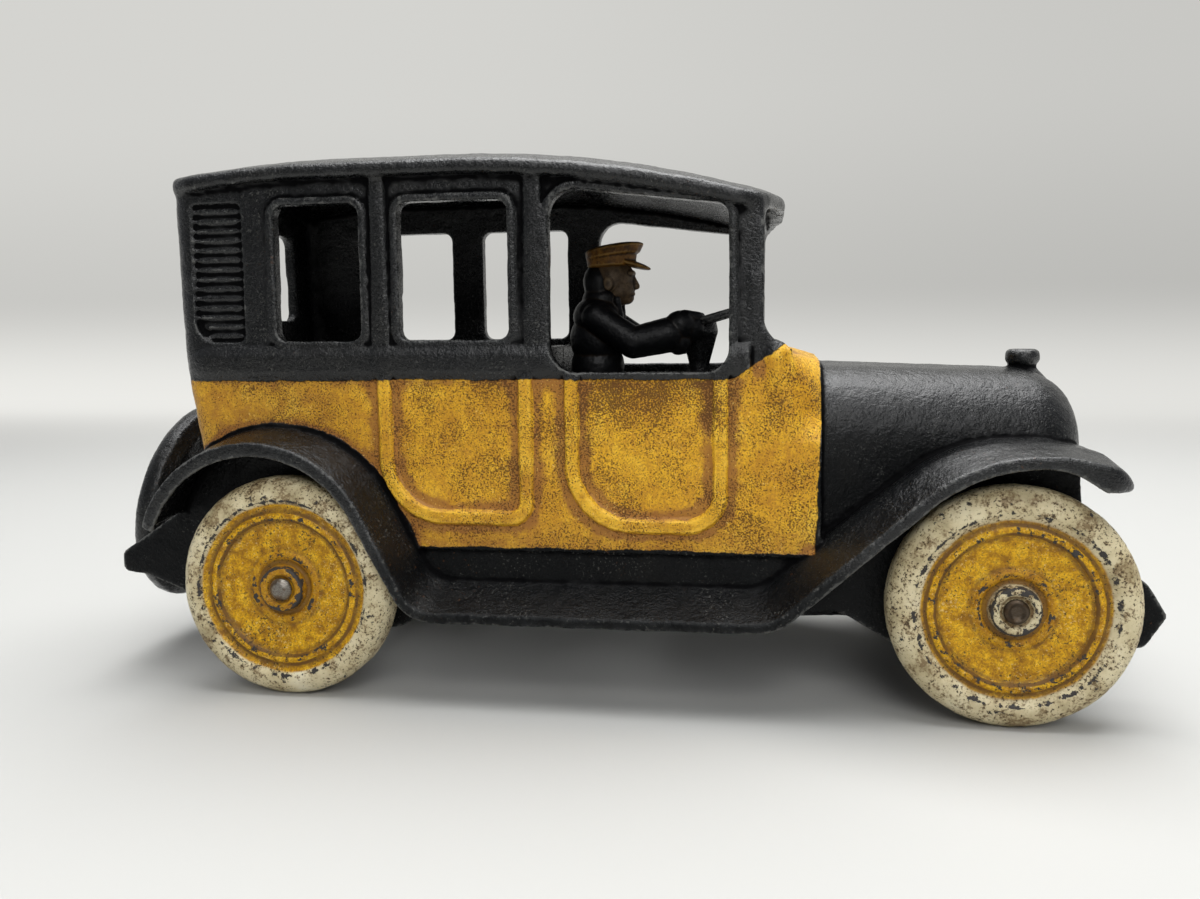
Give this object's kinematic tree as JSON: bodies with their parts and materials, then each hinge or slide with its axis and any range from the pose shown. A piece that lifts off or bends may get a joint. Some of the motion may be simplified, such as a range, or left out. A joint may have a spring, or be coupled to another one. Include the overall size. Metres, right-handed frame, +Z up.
{
  "type": "cast-iron toy taxi sedan",
  "caption": "Painted cast-iron toy taxi sedan in two riveted halves, with turning wheels on steel axles, a cast driver at a steering wheel and a spare on the back.",
  "frame": {"origin": "middle of the car's footprint, on the floor the wheels stand on", "axes": "+X forward to the radiator, +Y to the car's left, +Z up"},
  "size_m": [0.2256, 0.0862, 0.1157],
  "materials": {
    "body_enamel": "worn yellow enamel below the belt and black above, on cast iron",
    "wheel_enamel": "chipped cream tyre ring and yellow disc on cast iron",
    "black_enamel": "satin black enamel on cast iron",
    "driver_enamel": "dark coat, bronze cap and face, worn",
    "steel": "dull peened steel"
  },
  "bodies": {
    "car_body": {"left_body_half": "body_enamel", "right_body_half": "body_enamel", "driver_figure": "driver_enamel", "steering_post": "black_enamel", "spare_wheel": "black_enamel", "spare_stud": "steel", "rear_body_rivet": "steel", "middle_body_rivet": "steel", "front_body_rivet": "steel"},
    "rear_axle_rod": {"rear_axle": "steel"},
    "rear_left": {"rear_left_wheel": "wheel_enamel"},
    "rear_right": {"rear_right_wheel": "wheel_enamel"},
    "front_axle_rod": {"front_axle": "steel"},
    "front_left": {"front_left_wheel": "wheel_enamel"},
    "front_right": {"front_right_wheel": "wheel_enamel"}
  },
  "joints": [
    {"name": "rear_axle_spin", "type": "hinge", "parent": "car_body", "child": "rear_axle_rod", "pos_m": [-0.06364, 0, 0.0233], "axis": [0, 1, 0], "continuous": true},
    {"name": "rear_left_wheel_spin", "type": "hinge", "parent": "rear_axle_rod", "child": "rear_left", "pos_m": [-0.06364, 0, 0.0233], "axis": [0, 1, 0], "continuous": true},
    {"name": "rear_right_wheel_spin", "type": "hinge", "parent": "rear_axle_rod", "child": "rear_right", "pos_m": [-0.06364, 0, 0.0233], "axis": [0, 1, 0], "continuous": true},
    {"name": "front_axle_spin", "type": "hinge", "parent": "car_body", "child": "front_axle_rod", "pos_m": [0.08236, 0, 0.0233], "axis": [0, 1, 0], "continuous": true},
    {"name": "front_left_wheel_spin", "type": "hinge", "parent": "front_axle_rod", "child": "front_left", "pos_m": [0.08236, 0, 0.0233], "axis": [0, 1, 0], "continuous": true},
    {"name": "front_right_wheel_spin", "type": "hinge", "parent": "front_axle_rod", "child": "front_right", "pos_m": [0.08236, 0, 0.0233], "axis": [0, 1, 0], "continuous": true}
  ]
}
